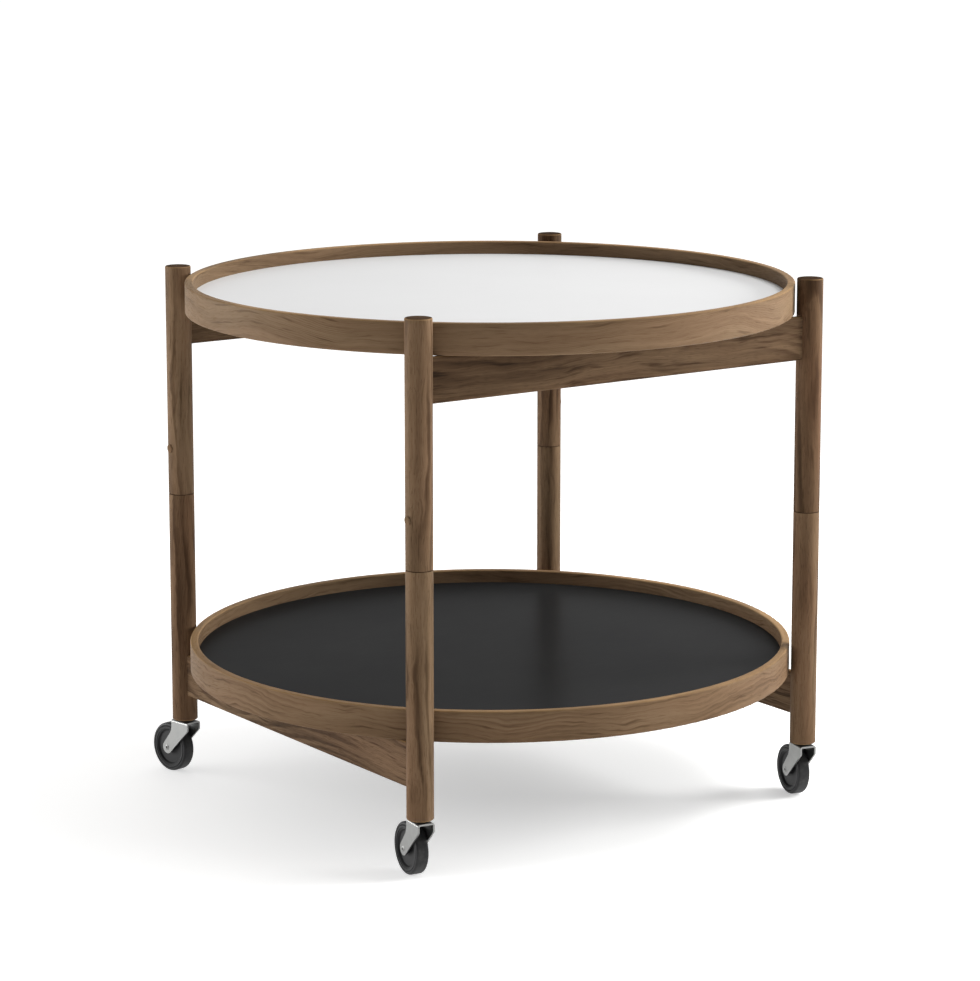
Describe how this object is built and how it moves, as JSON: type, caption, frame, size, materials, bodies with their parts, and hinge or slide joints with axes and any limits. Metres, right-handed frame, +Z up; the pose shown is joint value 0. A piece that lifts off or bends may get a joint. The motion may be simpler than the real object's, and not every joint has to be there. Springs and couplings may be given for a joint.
{
  "type": "room service table",
  "caption": "Round serving trolley with two lift-off trays in a slim walnut frame that folds flat once they are off, on swivel casters.",
  "frame": {"origin": "on the floor, under the middle of the trays", "axes": "+Z up, +X to the right along the upper rails, +Y to the back along the lower rails, so the front is -Y"},
  "size_m": [0.6, 0.6, 0.524],
  "materials": {
    "walnut_legs": "oiled walnut, turned",
    "walnut_rails": "oiled walnut, planed",
    "walnut_rims": "oiled walnut, bent strip",
    "walnut_pins": "oiled walnut, turned peg",
    "white_laminate": "satin laminate",
    "black_laminate": "satin laminate",
    "zinc_steel": "bright zinc plated sheet",
    "bright_steel": "drawn steel",
    "black_plastic": "moulded nylon",
    "dark_rubber": "soft tread"
  },
  "bodies": {
    "frame_lower_left": {"lower_leg_front_left": "walnut_legs", "lower_leg_back_left": "walnut_legs", "lower_rail_left": "walnut_rails", "pivot_spigot_front_left": "bright_steel", "pivot_spigot_back_left": "bright_steel", "caster_sleeve_front_left": "black_plastic", "caster_sleeve_back_left": "black_plastic"},
    "frame_upper_front": {"upper_leg_front_left": "walnut_legs", "upper_leg_front_right": "walnut_legs", "upper_rail_front": "walnut_rails", "retaining_pins_front": "walnut_pins"},
    "frame_upper_back": {"upper_leg_back_left": "walnut_legs", "upper_leg_back_right": "walnut_legs", "upper_rail_back": "walnut_rails", "retaining_pins_back": "walnut_pins"},
    "frame_lower_right": {"lower_leg_front_right": "walnut_legs", "lower_leg_back_right": "walnut_legs", "lower_rail_right": "walnut_rails", "pivot_spigot_front_right": "bright_steel", "pivot_spigot_back_right": "bright_steel", "caster_sleeve_front_right": "black_plastic", "caster_sleeve_back_right": "black_plastic"},
    "upper_tray": {"tray_rim_upper": "walnut_rims", "tray_plate_upper": "white_laminate"},
    "lower_tray": {"tray_rim_lower": "walnut_rims", "tray_plate_lower": "black_laminate"},
    "caster_front_left": {"caster_stem_front_left": "zinc_steel", "caster_ring_front_left": "bright_steel", "caster_washer_front_left": "zinc_steel", "caster_fork_front_left": "zinc_steel", "caster_axle_front_left": "zinc_steel"},
    "caster_front_right": {"caster_stem_front_right": "zinc_steel", "caster_ring_front_right": "bright_steel", "caster_washer_front_right": "zinc_steel", "caster_fork_front_right": "zinc_steel", "caster_axle_front_right": "zinc_steel"},
    "caster_back_left": {"caster_stem_back_left": "zinc_steel", "caster_ring_back_left": "bright_steel", "caster_washer_back_left": "zinc_steel", "caster_fork_back_left": "zinc_steel", "caster_axle_back_left": "zinc_steel"},
    "caster_back_right": {"caster_stem_back_right": "zinc_steel", "caster_ring_back_right": "bright_steel", "caster_washer_back_right": "zinc_steel", "caster_fork_back_right": "zinc_steel", "caster_axle_back_right": "zinc_steel"},
    "wheel_front_left": {"wheel_core_front_left": "black_plastic", "wheel_tyre_front_left": "dark_rubber"},
    "wheel_front_right": {"wheel_core_front_right": "black_plastic", "wheel_tyre_front_right": "dark_rubber"},
    "wheel_back_left": {"wheel_core_back_left": "black_plastic", "wheel_tyre_back_left": "dark_rubber"},
    "wheel_back_right": {"wheel_core_back_right": "black_plastic", "wheel_tyre_back_right": "dark_rubber"}
  },
  "joints": [
    {"name": "frame_fold", "type": "hinge", "parent": "frame_lower_left", "child": "frame_upper_front", "pos_m": [-0.22948, -0.21549, 0.2928], "axis": [0, 0, 1], "range_deg": [-0.3, 0.3]},
    {"name": "frame_fold_back", "type": "hinge", "parent": "frame_lower_left", "child": "frame_upper_back", "pos_m": [-0.22948, 0.21549, 0.2928], "axis": [0, 0, 1], "range_deg": [-0.3, 0.3]},
    {"name": "frame_fold_right", "type": "hinge", "parent": "frame_upper_front", "child": "frame_lower_right", "pos_m": [0.22948, -0.21549, 0.2928], "axis": [0, 0, 1], "range_deg": [-0.3, 0.3]},
    {"name": "upper_tray_lift", "type": "slide", "parent": "frame_lower_left", "child": "upper_tray", "axis": [0, 0, 1], "range_m": [0, 0.12]},
    {"name": "lower_tray_lift", "type": "slide", "parent": "frame_lower_left", "child": "lower_tray", "axis": [0, 0, 1], "range_m": [0, 0.28]},
    {"name": "caster_swivel_front_left", "type": "hinge", "parent": "frame_lower_left", "child": "caster_front_left", "pos_m": [-0.22948, -0.21549, 0.056], "axis": [0, 0, 1], "continuous": true},
    {"name": "caster_swivel_front_right", "type": "hinge", "parent": "frame_lower_right", "child": "caster_front_right", "pos_m": [0.22948, -0.21549, 0.056], "axis": [0, 0, 1], "continuous": true},
    {"name": "caster_swivel_back_left", "type": "hinge", "parent": "frame_lower_left", "child": "caster_back_left", "pos_m": [-0.22948, 0.21549, 0.056], "axis": [0, 0, 1], "continuous": true},
    {"name": "caster_swivel_back_right", "type": "hinge", "parent": "frame_lower_right", "child": "caster_back_right", "pos_m": [0.22948, 0.21549, 0.056], "axis": [0, 0, 1], "continuous": true},
    {"name": "wheel_spin_front_left", "type": "hinge", "parent": "caster_front_left", "child": "wheel_front_left", "pos_m": [-0.22684, -0.19668, 0.025], "axis": [0.9903, -0.1392, 0], "continuous": true},
    {"name": "wheel_spin_front_right", "type": "hinge", "parent": "caster_front_right", "child": "wheel_front_right", "pos_m": [0.23375, -0.19698, 0.025], "axis": [0.9744, -0.225, 0], "continuous": true},
    {"name": "wheel_spin_back_left", "type": "hinge", "parent": "caster_back_left", "child": "wheel_back_left", "pos_m": [-0.23311, 0.23415, 0.025], "axis": [0.9816, 0.1908, 0], "continuous": true},
    {"name": "wheel_spin_back_right", "type": "hinge", "parent": "caster_back_right", "child": "wheel_back_right", "pos_m": [0.23147, 0.23439, 0.025], "axis": [0.9945, -0.1045, 0], "continuous": true}
  ],
  "couplings": [
    {"joint": "frame_fold_back", "follows": "frame_fold", "ratio": 1},
    {"joint": "frame_fold_right", "follows": "frame_fold", "ratio": -1}
  ]
}
